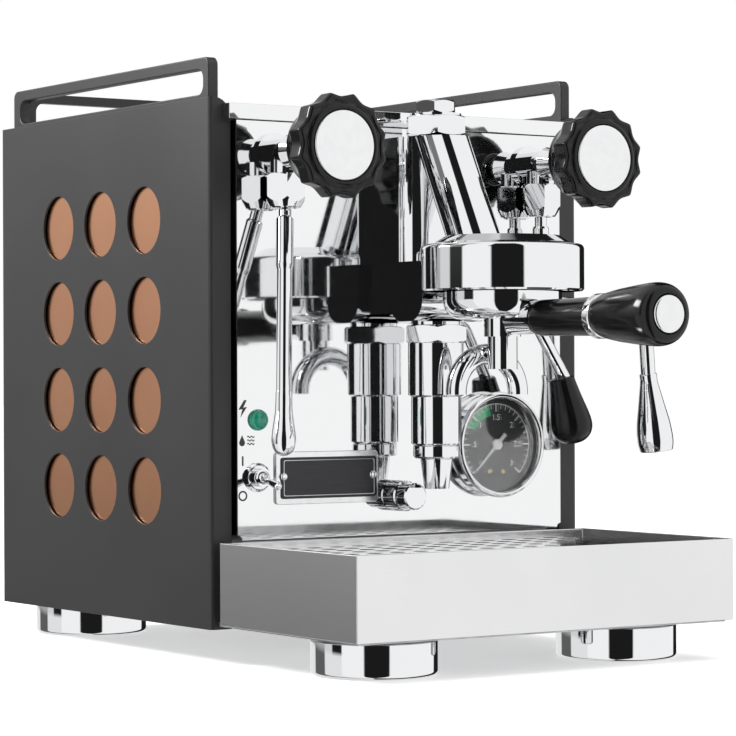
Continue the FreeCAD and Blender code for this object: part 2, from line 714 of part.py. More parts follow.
def infusion_chamber():
    """Lower hexagon, chamber and drain nozzle under the group."""
    y = S.group_y + 0.5
    nut = nut_blank("chamber_hex", (0, y, 190), 35.6, 11, -2.4)
    top = rod("chamber_top", (0, y, 200.5), 15, 2.5)
    body = turned("chamber_body", [
        (0, 101.9), (7.6, 101.9), (9.9, 119.6), (13.4, 120.4), (14.2, 121.4), (14.2, 127.6), (13.4, 128.5),
        (14.7, 128.5), (15.3, 129.3), (15.3, 157.4), (17.1, 158.5), (17.1, 190.5), (0, 190.5)], at=(0, y, 0))
    bore = rod("nozzle_bore", (0, y, 95), 3.0, 20)
    node(cut("chamber_cut", join("chamber_whole", nut, top, body), bore), "infusion_chamber")


def group_inner():
    """Gasket and shower screen inside the bell."""
    ring = rod("gasket_outer", (0, S.bell_y, 228), 36, 8)
    hole = rod("gasket_hole", (0, S.bell_y, 226), 29.5, 12)
    node(cut("gasket_cut", ring, hole), "group_gasket")
    screen = rod("screen_disc", (0, S.bell_y, 229), 29, 7)
    hollow = rod("screen_hollow", (0, S.bell_y, 230), 27.5, 6)
    node(cut("screen_cut", screen, hollow), "shower_screen")


def lever():
    """Cam shaft across the group, bent lever rod and its grip, at the lever's low stop."""
    y = S.group_y
    shaft = rod("lever_shaft", (4, y, S.lever_high), 5, 30, (1, 0, 0))
    node(shaft, "lever_cam")
    hub = turned("lever_hub", [(0, 0), (8.6, 0), (9.4, 0.8), (9.4, 9), (7.2, 13), (0, 14)],
                 at=(23.4 + 10.6, y, S.lever_high), direction=(1, 0, 0))
    start, bend, end = (40, y, S.lever_high), (72, -42, 203), (97, -46.4, 160)
    bent = pipe("lever_rod", [start, bend, end], 16.0, 3.9)
    node(join("lever_whole", hub, bent), "brew_lever")
    lean = FreeCAD.Vector(9.8, -2.2, -42).normalize()
    top = (89.9, -44.9, 168.8)
    grip = turned("grip_body", [
        (0, 0), (7.2, 0), (7.8, 0.8), (9.4, 12), (12.2, 24), (12.9, 30), (12.4, 34.5), (10.8, 38),
        (8.2, 40.4),
        (4.4, 41.7), (0, 42)], at=top, direction=tuple(lean))
    room = pipe("lever_rod_room", [start, bend, (97.1, -46.42, 159.8)], 16.0, 4.1)
    node(cut("grip_bored", grip, room), "lever_grip")


# ---- portafilter -----------------------------------------------------------

def portafilter():
    """Filter holder locked in the bell, its basket, double spout and handle."""
    y = S.bell_y
    cup = turned("cup_body", [
        (0, 203), (24, 203.2), (S.cup_radius, 214.4, -11.2), (S.cup_radius, 227.6), (0, 227.6)], at=(0, y, 0))
    ears = [span(f"cup_ear_{word}", (side * 38.5 - 5, y - 10, 221), (side * 38.5 + 5, y + 10, 225.5))
            for side, word in SIDES]
    ear_ring = rod("cup_ear_ring", (0, y, 220), 43, 7)
    ears_round = common("cup_ears", join("cup_ear_pair", *ears), ear_ring)
    boss = rod("cup_boss", (0, y - 13, S.handle_high), 9.4, 22.1, (0, -1, 0))
    drop = rod("cup_drop", (0, y, 193), 11, 12)
    hole = rod("cup_hole", (0, y, 190), 4, 20)
    inside = turned("cup_inside", [(0, 205.6), (26.5, 206.2), (31.2, 213), (31.2, 240), (0, 240)],
                    at=(0, y, 0))
    solid = join("cup_whole", cup, ears_round, boss, drop)
    node(cut("cup_holder_cut", solid, inside, hole), "portafilter_body")
    basket = turned("basket_body", [
        (0, 207), (24, 207), (29.2, 211), (29.6, 226.4), (30.8, 226.4), (30.8, 227.6), (28.8, 227.6),
        (28.4, 211.6), (23.6, 208), (0, 208)], at=(0, y, 0))
    node(basket, "filter_basket")
    handle()


def handle():
    """Two-part grip on its ferrule, with the metal ring between and the end cap."""
    base = (0, S.bell_y - 36.6, S.handle_high)
    back = (0, -1, 0)
    stem = rod("handle_stem", base, 4, 98, back)
    collar = rod("handle_collar", (0, S.bell_y - 35.1, S.handle_high), 9.9, 1.5, back)
    node(join("handle_core", stem, collar), "handle_ferrule")
    front = turned("grip_front_body", [
        (4.1, 0), (8.6, 0), (9.8, 0.7), (10.5, 2), (10.6, 24), (11, 53.4),
        (4.1, 53.4)], at=base, direction=back)
    ring = turned("grip_ring_body",
                  [(4.1, 53.4), (12, 53.4), (12.7, 54.2), (12.7, 59.1), (12, 59.9), (4.1, 59.9)],
                  at=base, direction=back)
    rear = turned("grip_rear_body", [
        (4.1, 59.9), (12.2, 59.9), (13, 63.9), (14.8, 74.9), (16.4, 89.9), (17.3, 99), (17.6, 106),
        (17.2, 110.4),
        (15.5, 113.6), (13, 115), (11.2, 115.2), (11.2, 112.4), (0, 112.4), (0, 100), (4.1, 100)],
        at=base, direction=back)
    node(group("grip_pair", front, rear), "handle_grips")
    cap = turned("cap_disc", [(0, 112.4), (10.6, 112.4), (10.6, 115.2), (8.4, 116.3), (0, 116.9)],
                 at=base, direction=back)
    node(group("trim_pair", ring, cap), "handle_trims")


def double_spout():
    """Forked spout: a neck from the cup, then an arch down to the two outlets."""
    y = S.bell_y
    neck = rod("spout_neck", (0, y, 174), 8.8, 19)
    throat = rod("spout_throat", (0, y + 2, 182.7), 5.6, 13.5, (0, 1, 0))
    ring = doc.addObject("Part::Torus", "spout_ring")
    bind(ring, "Radius1", S.spout_arm)
    bind(ring, "Radius2", S.spout_tube)
    place(ring, (0, S.spout_y, 160.5), towards((0, 1, 0)))
    lower_half = span("spout_lower_half", (-40, -110, 120), (40, -60, 159))
    arch = cut("spout_arch", ring, lower_half)
    outlets = [rod(f"spout_outlet_{word}", (side * S.spout_arm, S.spout_y, 156), 3.8, 11) for side,
               word in SIDES]
    node(cut("spout_cut", join("spout_whole", neck, throat, arch), *outlets), "double_spout")


# ---- valves, wands and knobs -----------------------------------------------

def valves():
    """Valve bodies through the panel, and the hexagon outlets that hold the wands' balls."""
    bodies = []
    nuts = []
    for side, word in SIDES:
        x = side * S.valve_x
        barrel = rod(f"valve_barrel_{word}", (x, 26, S.valve_high), 8.4, 44, (0, -1, 0))
        seat = rod(f"valve_seat_{word}", (x, S.mirror_front, S.valve_high), 12.5, 3, (0, -1, 0))
        cheek = taper(f"valve_cheek_{word}", (x, -18, S.valve_high), 8.4, 10.6, 9, (0, -1, 0))
        gland = taper(f"valve_gland_{word}", (x, -27, S.valve_high), 10.6, 7.4, 10, (0, -1, 0))
        drop = rod(f"valve_drop_{word}", (x, S.nut_y, S.nut_high - 1), 9.0, 8)
        bore = rod(f"valve_bore_{word}", (x, -10, S.valve_high), 3.05, 40, (0, -1, 0))
        whole = join(f"valve_whole_{word}", barrel, seat, cheek, gland, drop)
        bodies.append(cut(f"valve_cut_{word}", whole, bore))
        length = S.nut_high - S.nut_low - 1
        blank = hexagon(f"nut_hex_{word}", (x, S.nut_y, S.nut_low), 22.6, length, turn=4.0)
        bevel = turned(f"nut_bevel_{word}", [
            (0, 0), (8.8, 0), (9.6, 0.8), (13.2, 7), (13.2, 18.8), (10.9, 20.6), (0, 20.6)],
            at=(x, S.nut_y, S.nut_low))
        socket = ball(f"nut_socket_{word}", (x, S.nut_y, S.ball_high), S.ball_radius + S.gap)
        mouth = taper(f"nut_mouth_{word}", (x, S.nut_y, S.nut_low - 1), 8.0, 5.8, 5.5)
        nuts.append(cut(f"nut_cut_{word}", common(f"nut_shape_{word}", blank, bevel), socket, mouth))
    node(group("valve_pair", *bodies), "valve_bodies")
    node(group("nut_pair", *nuts), "wand_nuts")


def knob(x, use):
    """Twelve-lobed hand wheel on its spindle, with a polished disc in the face."""
    back = (0, -1, 0)
    wheel = turned(f"{use}_knob_wheel", [
        (0, 0), (9.6, 0), (10.5, 1), (10.5, 14), (20, 15), (23.2, 17), (24, 22), (S.knob_radius, 32),
        (S.knob_radius, 42.6), (29.5, 44), (22.5, 44.4), (21.4, 43), (0, 43)],
        at=(x, S.knob_back, S.valve_high), direction=back)
    dents = []
    for n in range(12):
        angle = math.radians(30 * n)
        dents.append(rod(f"{use}_knob_dent_{n}",
                         (x + (S.knob_radius + 6.4) * math.cos(angle), S.knob_back - 20,
                          S.valve_high + (S.knob_radius + 6.4) * math.sin(angle)), 9.0, 28, back))
    spindle_hole = rod(f"{use}_knob_hole", (x, S.knob_back + 1, S.valve_high), 3.0, 46, back)
    node(cut(f"{use}_knob_cut", wheel, spindle_hole, *dents), f"{use}_knob")
    stem = rod(f"{use}_spindle_rod", (x, -14, S.valve_high), 3.0, 67, back)
    disc = turned(f"{use}_disc_body", [(0, 0), (20.4, 0), (20.4, 0.9), (19.8, 1.5), (0, 1.9)],
                  at=(x, S.knob_back - 43, S.valve_high), direction=back)
    node(join(f"{use}_spindle_whole", stem, disc), f"{use}_spindle")


def wand_ball(side, use):
    """Ball in the outlet nut, on which the wand swivels."""
    node(ball(f"{use}_ball_body", (side * S.valve_x, S.nut_y, S.ball_high), S.ball_radius),
         f"{use}_wand_ball")


def ball_clear(name, side, shape):
    """Trim a wand's top to a sphere just clear of its ball."""
    centre = (side * S.valve_x, S.nut_y, S.ball_high)
    return cut(name, shape, ball(f"{name}_sphere", centre, S.ball_radius + 0.3))


def steam_wand():
    """Long steam wand: neck, sleeve and slim tube on one line, and the drop-shaped tip."""
    top = FreeCAD.Vector(-number_of(S.valve_x), number_of(S.nut_y), number_of(S.ball_high))
    way = FreeCAD.Vector(-121, -56, 128) - top
    unit = FreeCAD.Vector(way).normalize()
    shank_end = 124.2
    wand = turned("steam_wand_body", [
        (0, 4), (3.8, 4), (3.8, 13.5), (4.4, 14), (S.sleeve_radius, 15), (S.sleeve_radius, 44),
        (S.wand_radius, 47), (S.wand_radius, shank_end), (0, shank_end)], at=tuple(top), direction=tuple(way))
    node(ball_clear("steam_wand_clear", LEFT, wand), "steam_wand")
    tip = turned("steam_tip_body", [
        (0, 2), (4.65, 2), (4.65, 0), (4.95, 0), (5.05, 8), (5.4, 14), (6.3, 20), (7.1, 26), (7.2, 29),
        (6.6, 33), (5, 36), (2.6, 37.6),
        (0, 38)], at=tuple(top + unit * (shank_end - 2)), direction=tuple(way))
    node(tip, "steam_tip")


def water_wand():
    """Hot-water wand: down, out past the lever, then down to a flared nozzle."""
    top = (number_of(S.valve_x), number_of(S.nut_y), number_of(S.ball_high))
    tube = pipe("water_tube", [(top[0], top[1], top[2] - 4), (top[0], top[1], 217),
                               (149, -54.4, 209), (151.6, -54.8, 168)], 13.0, S.wand_radius.value)
    sleeve = turned("water_sleeve", [
        (0, 239), (S.wand_radius, 239), (S.sleeve_radius, 240), (S.sleeve_radius, 262.6), (4.6, 264),
        (0, 264)],
        at=(S.valve_x, S.nut_y, 0))
    waste = cut("water_ring", rod("water_ring_outer", (S.valve_x, S.nut_y, 263), 9, 20),
                rod("water_ring_inner", (S.valve_x, S.nut_y, 262), 3.8, 22))
    slim = cut("water_tube_slim", tube, waste)
    node(ball_clear("water_wand_clear", RIGHT, join("water_wand_whole", slim, sleeve)), "water_wand")
    start = FreeCAD.Vector(151.6, -54.8, 168)
    end = FreeCAD.Vector(157.4, -55.4, 122)
    way = end - start
    nozzle = turned("water_nozzle_body", [
        (4.9, -3), (5.4, -3), (5.6, -2.2), (5.4, 1.6), (8.4, 17), (10.6, 28), (11.4, 36), (11.5, 41),
        (10.5, 46.2),
        (9.0, 46.2), (8.4, 28), (3, 12), (0, 12), (0, 0.6),
        (4.9, 0.6)], at=tuple(start), direction=tuple(way))
    node(nozzle, "water_nozzle")


# ---- front controls --------------------------------------------------------

def gauge():
    """Boiler pressure gauge: case and bezel, dial, needle and glass."""
    x, z = S.gauge_x, S.gauge_high
    front = (0, -1, 0)
    case = turned("gauge_body", [
        (0, -20), (27, -20), (27, 0.2), (31, 0.2), (31.6, 1), (31.6, 7), (S.gauge_radius, 8.4),
        (S.gauge_radius, 11), (31.4, 12.4), (29.8, 12.2), (S.dial_radius + 0.1, 10.2),
        (S.dial_radius + 0.1, 4),
        (0, 4)],
        at=(x, S.mirror_front, z), direction=front)
    node(case, "gauge_case")
    node(rod("gauge_dial_disc", (x, S.mirror_front - 4, z), S.dial_radius, 0.8, front), "gauge_dial")
    needle_hub = rod("needle_hub", (x, S.mirror_front - 5.1, z), 3.4, 1.6, front)
    node(join("needle_whole", needle_hub, needle_arm(x, z)), "gauge_needle")
    node(rod("gauge_glass_disc", (x, S.mirror_front - 8, z), S.dial_radius, 1.2, front), "gauge_glass")


def needle_arm(x, z):
    """Slim pointer, which rests at the dial's zero, low on the left."""
    zero = FreeCAD.Rotation(Y_AXIS, -135)
    shape = [(-1.2, -9), (1.2, -9), (1.0, 0), (0.4, 22.6), (-0.4, 22.6), (-1.0, 0)]
    return padded("needle_arm_body", shape, 0.7, at=(x, S.mirror_front - 5.5, z), role="XZ_Plane", turn=zero)


def lamp():
    """Green pilot lamp: threaded shank and domed lens."""
    lens = turned("lamp_body", [
        (0, -12), (5.4, -12), (5.4, 0), (6.4, 0), (6.4, 1), (5.7, 3), (3.6, 4.9), (0, 5.6)],
        at=(S.lamp_x, S.mirror_front, S.lamp_high), direction=(0, -1, 0))
    node(lens, "pilot_lamp")


def power_switch():
    """Toggle switch: nut and bushing on the panel, and the bat lever drawn at off."""
    x, z = S.switch_x, S.switch_high
    base = turned("switch_body", [
        (0, -24), (5.8, -24), (5.8, 0), (8.6, 0), (8.6, 1.6), (7.4, 2.2), (7.0, 3.4), (5.4, 3.4), (5.4, 8),
        (0, 8)],
        at=(x, S.mirror_front, z), direction=(0, -1, 0))
    seat = ball("switch_seat", (x, S.mirror_front - 6, z), 3.6)
    mouth = taper("switch_mouth", (x, S.mirror_front - 6, z), 2.6, 5.0, 3, (0, -1, 0))
    node(cut("switch_cut", base, seat, mouth), "switch_base")
    way = (0.0, -math.cos(math.radians(14)), -math.sin(math.radians(14)))
    bat = turned("bat_body", [(0, 0), (1.4, 0), (1.6, 6), (2.4, 15), (2.6, 18), (1.6, 20, 2.0), (0, 20.4)],
                 at=(x, S.mirror_front - 6, z), direction=way)
    pivot = ball("bat_pivot", (x, S.mirror_front - 6, z), 3.2)
    node(join("bat_whole", bat, pivot), "switch_lever")


def plate_and_cap():
    """Blank name plate in its frame with two screws, and the knurled drain cap beside it."""
    face = S.mirror_front
    frame = span("badge_frame_body", (-94.8, face - 1.6, 93.4), (-21.4, face, 125))
    frame_soft = rounded("badge_frame_soft", frame, 2.0, lambda edge: is_along(edge, Y_AXIS))
    plate = span("badge_plate_body", (-91.4, face - 2.4, 97), (-23, face - 1.6, 121.6))
    plate_soft = rounded("badge_plate_soft", plate, 2.0, lambda edge: is_along(edge, Y_AXIS))
    screws = []
    for n, x in enumerate((-89.6, -25.6)):
        screws.append(turned(f"badge_screw_{n}", [(0, 0), (2.4, 0), (1.8, 1.0), (0, 1.4)],
                             at=(x, face - 2.4, 110.2), direction=(0, -1, 0)))
    node(group("badge_set", frame_soft, plate_soft, *screws), "name_plate")
    cap = turned("drain_body", [
        (0, -8), (4.8, -8), (4.8, 0), (8.6, 0), (9.4, 0.8), (9.4, 12.2), (8.6, 13), (8.2, 13), (8.2, 22.2),
        (7.4, 23), (0, 23)], at=(S.drain_x, face, S.drain_high), direction=(0, -1, 0))
    grooves = []
    for n in range(24):
        angle = math.radians(15 * n)
        grooves.append(rod(f"drain_groove_{n}", (S.drain_x + 9.7 * math.cos(angle), face - 2,
                                                 S.drain_high + 9.7 * math.sin(angle)), 0.7, 9, (0, -1, 0)))
    node(cut("drain_cut", cap, *grooves), "drain_cap")


# ---- drip tray -------------------------------------------------------------

def drip_tray():
    """Sliding drip tray under the group, and its lift-out perforated grate."""
    half = S.tray_half
    shell = span("drip_shell", (-half, S.tray_front, S.tray_low), (half, S.tray_back, S.tray_high))
    under = span("drip_under", (1.2 - half, S.tray_front + 1.2, S.tray_low - 1),
                 (half - 1.2, S.tray_back + 1, 26.4))
    hollow = span("drip_hollow", (3 - half, S.tray_front + 3, 29),
                  (half - 3, S.tray_back - 3, S.tray_high + 1))
    ledge_outer = span("ledge_outer", (3 - half, S.tray_front + 3, 63), (half - 3, S.tray_back - 3, 66))
    ledge_inner = span("ledge_inner", (9 - half, S.tray_front + 9, 60), (half - 9, S.tray_back - 9, 70))
    ledge = cut("ledge_cut", ledge_outer, ledge_inner)
    node(join("drip_whole", cut("drip_cut", shell, under, hollow), ledge), "drip_tray")
    grate = span("grate_blank", (3.8 - half, S.tray_front + 3.8, 66.2), (half - 3.8, S.tray_back - 3.8, 68.2))
    holes = []
    for column in range(15):
        for row in range(8):
            x = -112 + 16 * column
            y = -137 + 16 * row
            holes.append(rod(f"grate_hole_{column}_{row}", (x, y, 60), 4.6, 20))
    node(cut("grate_cut", grate, *holes), "drip_grate")


# ---- build -----------------------------------------------------------------

def build():
    base_plate()
    feet()
    for side, word in SIDES:
        side_panel(side, word)
    copper_panels()
    rails()
    front_sheets()
    back_sheet()
    cup_tray()
    water_tank()
    boiler()
    boiler_fittings()
    hydraulics()
    power_inlet()
    group_casting()
    mushroom()
    infusion_chamber()
    group_inner()
    lever()
    portafilter()
    double_spout()
    valves()
    knob(-S.valve_x, "steam")
    knob(S.valve_x, "water")
    wand_ball(LEFT, "steam")
    wand_ball(RIGHT, "water")
    steam_wand()
    water_wand()
    gauge()
    lamp()
    power_switch()
    plate_and_cap()
    drip_tray()


def check():
    """Stop if any object failed or any piece is not a sound solid."""
    doc.recompute()
    for obj in doc.Objects:
        if "Invalid" in obj.State or "Error" in obj.State:
            raise RuntimeError(f"{obj.Name} failed: {obj.State}")
    for obj in nodes:
        if obj.Shape.isNull() or not obj.Shape.isValid():
            raise RuntimeError(f"{obj.Label} is not valid")
        if not obj.Shape.Solids:
            raise RuntimeError(f"{obj.Label} holds no solid")


def write():
    os.makedirs("parts", exist_ok=True)
    for obj in nodes:
        obj.Shape.exportStep(f"parts/{obj.Label}.step")
    print(len(nodes), "pieces written")


build()
check()
write()
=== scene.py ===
import json
import math

import bmesh
import bpy
from mathutils import Matrix, Vector


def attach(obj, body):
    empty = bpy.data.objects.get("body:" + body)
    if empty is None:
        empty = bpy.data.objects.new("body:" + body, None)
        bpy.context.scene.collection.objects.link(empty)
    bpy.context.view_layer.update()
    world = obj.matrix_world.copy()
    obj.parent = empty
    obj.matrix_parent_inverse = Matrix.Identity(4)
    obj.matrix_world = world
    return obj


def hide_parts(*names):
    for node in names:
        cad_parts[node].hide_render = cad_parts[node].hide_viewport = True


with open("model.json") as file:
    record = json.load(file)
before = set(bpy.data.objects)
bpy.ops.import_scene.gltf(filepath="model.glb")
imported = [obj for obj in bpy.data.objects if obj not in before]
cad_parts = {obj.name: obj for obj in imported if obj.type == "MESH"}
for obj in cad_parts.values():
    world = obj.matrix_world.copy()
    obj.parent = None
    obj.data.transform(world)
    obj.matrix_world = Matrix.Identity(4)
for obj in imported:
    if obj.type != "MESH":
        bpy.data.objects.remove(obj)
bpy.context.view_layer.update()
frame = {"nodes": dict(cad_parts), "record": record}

NODES = frame["nodes"]
MM = 0.001
FRONT = -69.3          # the casing's front edge, in the record's frame
PANEL_FACE = -4.0      # the front panel's face, counted from that edge
UP = Vector((0, 0, 1))
FORWARD = Vector((0, -1, 0))


def at(x, y, z):
    """A point in metres from millimetres, with Y counted from the casing's front edge."""
    return Vector((x, y + FRONT, z)) * MM


# ---- materials -------------------------------------------------------------

class Finish:
    """A node material built round one Principled shader."""

    def __init__(self, name, colour, metallic=0.0, **sockets):
        self.material = bpy.data.materials.new(name)
        self.material.use_nodes = True
        self.tree = self.material.node_tree
        self.shader = self.tree.nodes["Principled BSDF"]
        self.set("Base Color", (*colour, 1.0))
        self.set("Metallic", metallic)
        for socket, value in sockets.items():
            self.set(socket.replace("_", " "), value)
        self.point = self.tree.nodes.new("ShaderNodeTexCoord").outputs["Object"]
        self.colour = (*colour, 1.0)

    def set(self, socket, value):
        self.shader.inputs[socket].default_value = value

    def link(self, source, target):
        self.tree.links.new(source, target)

    def noise(self, scale, stretch=(1, 1, 1), detail=4.0, rough=0.55):
        mapping = self.tree.nodes.new("ShaderNodeMapping")
        mapping.inputs["Scale"].default_value = stretch
        self.link(self.point, mapping.inputs["Vector"])
        node = self.tree.nodes.new("ShaderNodeTexNoise")
        node.inputs["Scale"].default_value = scale
        node.inputs["Detail"].default_value = detail
        node.inputs["Roughness"].default_value = rough
        self.link(mapping.outputs["Vector"], node.inputs["Vector"])
        return node.outputs["Fac"]

    def spread(self, source, low, high, start=0.3, end=0.7):
        node = self.tree.nodes.new("ShaderNodeMapRange")
        node.inputs["From Min"].default_value = start
        node.inputs["From Max"].default_value = end
        node.inputs["To Min"].default_value = low
        node.inputs["To Max"].default_value = high
        self.link(source, node.inputs["Value"])
        return node.outputs["Result"]

    def roughness(self, source, low, high):
        self.link(self.spread(source, low, high), self.shader.inputs["Roughness"])
        return self

    def tint(self, source, other, start=0.35, end=0.7):
        node = self.tree.nodes.new("ShaderNodeMix")
        node.data_type = "RGBA"
        node.inputs["A"].default_value = self.colour
        node.inputs["B"].default_value = (*other, 1.0)
        self.link(self.spread(source, 0.0, 1.0, start, end), node.inputs["Factor"])
        self.link(node.outputs["Result"], self.shader.inputs["Base Color"])
        return self

    def bump(self, source, strength, distance):
        node = self.tree.nodes.new("ShaderNodeBump")
        node.inputs["Strength"].default_value = strength
        node.inputs["Distance"].default_value = distance
        self.link(source, node.inputs["Height"])
        last = self.shader.inputs["Normal"]
        if last.is_linked:
            self.link(last.links[0].from_socket, node.inputs["Normal"])
        self.link(node.outputs["Normal"], last)
        return self


def make_finishes():
    """Every finish by its short name: the record's slots, and the extra ones that new pieces use."""
    made = {}

    powder = Finish("graphite_powder_coat", (0.017, 0.017, 0.018), 0.0)
    powder.set("Specular IOR Level", 0.5)
    grain = powder.noise(2600, detail=2.0)
    patches = powder.noise(9, detail=3.0)
    powder.tint(patches, (0.020, 0.020, 0.020)).roughness(patches, 0.40, 0.47).bump(grain, 0.12, 0.00005)
    made["graphite_paint"] = powder

    copper = Finish("satin_copper_sheet", (0.89, 0.45, 0.26), 1.0)
    lines = copper.noise(30, (1, 3, 260), detail=5.0)
    cloud = copper.noise(22, detail=2.0)
    copper.tint(cloud, (0.86, 0.42, 0.24)).roughness(lines, 0.20, 0.26).bump(lines, 0.01, 0.00001)
    made["copper_sheet"] = copper

    mirror = Finish("mirror_polished_steel", (0.86, 0.865, 0.87), 1.0)
    wave = mirror.noise(5, detail=1.0)
    haze = mirror.noise(60, (1, 1, 6), detail=5.0)
    mirror.roughness(haze, 0.025, 0.06).bump(wave, 0.05, 0.0012)
    made["mirror_steel"] = mirror

    satin = Finish("brushed_steel", (0.80, 0.80, 0.805), 1.0, Anisotropic=0.3)
    lines = satin.noise(26, (1.5, 260, 260), detail=6.0)
    patches = satin.noise(12, detail=3.0)
    satin.tint(patches, (0.77, 0.77, 0.775)).roughness(lines, 0.20, 0.28).bump(lines, 0.02, 0.00002)
    made["satin_steel"] = satin

    bright = Finish("bright_steel_grate", (0.90, 0.90, 0.905), 1.0)
    grain = bright.noise(40, (1, 60, 60), detail=4.0)
    bright.roughness(grain, 0.10, 0.16).bump(grain, 0.01, 0.00001)
    made["bright_grate"] = bright

    chrome = Finish("polished_chrome", (0.83, 0.835, 0.845), 1.0)
    haze = chrome.noise(75, detail=5.0)
    ripple = chrome.noise(38, detail=1.0)
    chrome.roughness(haze, 0.018, 0.055).bump(ripple, 0.035, 0.0004)
    made["chrome"] = chrome

    zinc = Finish("zinc_plated_sheet", (0.55, 0.56, 0.575), 1.0)
    spangle = zinc.noise(85, detail=3.0)
    zinc.tint(spangle, (0.46, 0.47, 0.49)).roughness(spangle, 0.34, 0.52).bump(spangle, 0.05, 0.0001)
    made["zinc_steel"] = zinc

    black = Finish("gloss_black_moulding", (0.0045, 0.0045, 0.005), 0.0)
    black.set("Specular IOR Level", 0.3)
    haze = black.noise(55, detail=4.0)
    skin = black.noise(900, detail=2.0)
    black.tint(haze, (0.007, 0.007, 0.0075)).roughness(haze, 0.11, 0.20).bump(skin, 0.02, 0.00003)
    made["black_grip"] = black

    rubber = Finish("matt_rubber", (0.018, 0.018, 0.018), 0.0)
    skin = rubber.noise(700, detail=4.0)
    rubber.tint(skin, (0.030, 0.030, 0.030)).roughness(skin, 0.65, 0.85).bump(skin, 0.25, 0.0001)
    made["rubber"] = rubber

    boiler = Finish("plain_copper", (0.66, 0.36, 0.24), 1.0)
    stain = boiler.noise(28, detail=5.0)
    boiler.tint(stain, (0.42, 0.22, 0.15)).roughness(stain, 0.28, 0.50).bump(stain, 0.05, 0.0003)
    made["boiler_copper"] = boiler

    brass = Finish("turned_brass", (0.72, 0.57, 0.31), 1.0)
    lathe_lines = brass.noise(90, (8, 1, 8), detail=4.0)
    brass.tint(lathe_lines, (0.62, 0.46, 0.22)).roughness(lathe_lines, 0.20, 0.36)
    made["brass_fitting"] = brass.bump(lathe_lines, 0.05, 0.0001)

    tank = Finish("translucent_tank", (0.80, 0.83, 0.84), 0.0, Transmission_Weight=0.25)
    cloud = tank.noise(15, detail=3.0)
    tank.tint(cloud, (0.74, 0.78, 0.79)).roughness(cloud, 0.38, 0.52).bump(cloud, 0.06, 0.0004)
    made["tank_plastic"] = tank

    inner = Finish("moulded_plastic", (0.028, 0.028, 0.030), 0.0)
    texture = inner.noise(1100, detail=3.0)
    inner.tint(texture, (0.042, 0.042, 0.044)).roughness(texture, 0.42, 0.6).bump(texture, 0.22, 0.0001)
    made["inner_plastic"] = inner

    lens = Finish("green_lens", (0.004, 0.17, 0.10), 0.0, Coat_Weight=0.5)
    lens.set("Emission Color", (0.0, 0.42, 0.28, 1.0))
    lens.set("Emission Strength", 0.04)
    facet = lens.noise(420, detail=1.0)
    lens.tint(facet, (0.006, 0.24, 0.15)).roughness(facet, 0.10, 0.22).bump(facet, 0.3, 0.0003)
    made["lamp_green"] = lens

    card = Finish("printed_black_dial", (0.016, 0.017, 0.019), 0.0)
    fibre = card.noise(650, detail=3.0)
    card.tint(fibre, (0.024, 0.025, 0.027)).roughness(fibre, 0.40, 0.55).bump(fibre, 0.06, 0.00004)
    made["dial_card"] = card

    white = Finish("white_print", (0.84, 0.84, 0.83), 0.0)
    speck = white.noise(700, detail=2.0)
    white.tint(speck, (0.77, 0.77, 0.76)).roughness(speck, 0.38, 0.5).bump(speck, 0.04, 0.00003)
    made["needle_white"] = white

    green = Finish("green_print", (0.02, 0.40, 0.17), 0.0)
    speck = green.noise(700, detail=2.0)
    green.tint(speck, (0.015, 0.34, 0.14)).roughness(speck, 0.38, 0.5)
    made["green_print"] = green

    glass = Finish("gauge_window", (0.96, 0.97, 0.97), 0.0, Transmission_Weight=1.0, IOR=1.9)
    smear = glass.noise(30, detail=4.0)
    glass.roughness(smear, 0.0, 0.05).bump(smear, 0.02, 0.0002)
    glass.set("Alpha", 0.2)
    made["gauge_glass"] = glass

    plate = Finish("dark_anodised_plate", (0.040, 0.040, 0.043), 0.85, Anisotropic=0.3)
    lines = plate.noise(24, (2, 240, 240), detail=5.0)
    plate.tint(lines, (0.065, 0.065, 0.069)).roughness(lines, 0.26, 0.40).bump(lines, 0.06, 0.00003)
    made["plate_dark"] = plate

    disc = Finish("satin_silver_disc", (0.86, 0.865, 0.87), 1.0)
    fine = disc.noise(160, detail=5.0)
    disc.tint(fine, (0.83, 0.835, 0.84)).roughness(fine, 0.20, 0.26).bump(fine, 0.03, 0.00003)
    made["silver_disc"] = disc

    ink = Finish("dark_print", (0.022, 0.022, 0.024), 0.0)
    speck = ink.noise(900, detail=2.0)
    ink.tint(speck, (0.034, 0.034, 0.036)).roughness(speck, 0.36, 0.5)
    made["ink"] = ink

    return {name: finish.material for name, finish in made.items()}


FINISH = make_finishes()


def dress_cad_nodes():
    """Give every CAD node the finish of its own slot, with a brighter steel on the drip grate."""
    slot_of = {part["node"]: part["material_slot"] for part in frame["record"]["subparts"]}
    for name, obj in NODES.items():
        for slot in obj.material_slots:
            slot.link = "OBJECT"
            finish = "bright_grate" if name == "drip_grate" else slot_of[name]
            slot.material = FINISH[finish]


# ---- mesh helpers ----------------------------------------------------------

def finished(name, bm, finish, body, crease=32.0):
    """Turn a bmesh into a piece that rides on a body."""
    bmesh.ops.remove_doubles(bm, verts=bm.verts, dist=1e-7)
    bmesh.ops.recalc_face_normals(bm, faces=bm.faces)
    mesh = bpy.data.meshes.new(name)
    bm.to_mesh(mesh)
    bm.free()
    mesh.shade_smooth()
    mesh.set_sharp_from_angle(angle=math.radians(crease))
    mesh.materials.append(FINISH[finish])
    obj = bpy.data.objects.new(name, mesh)
    bpy.context.scene.collection.objects.link(obj)
    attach(obj, body)
    return obj


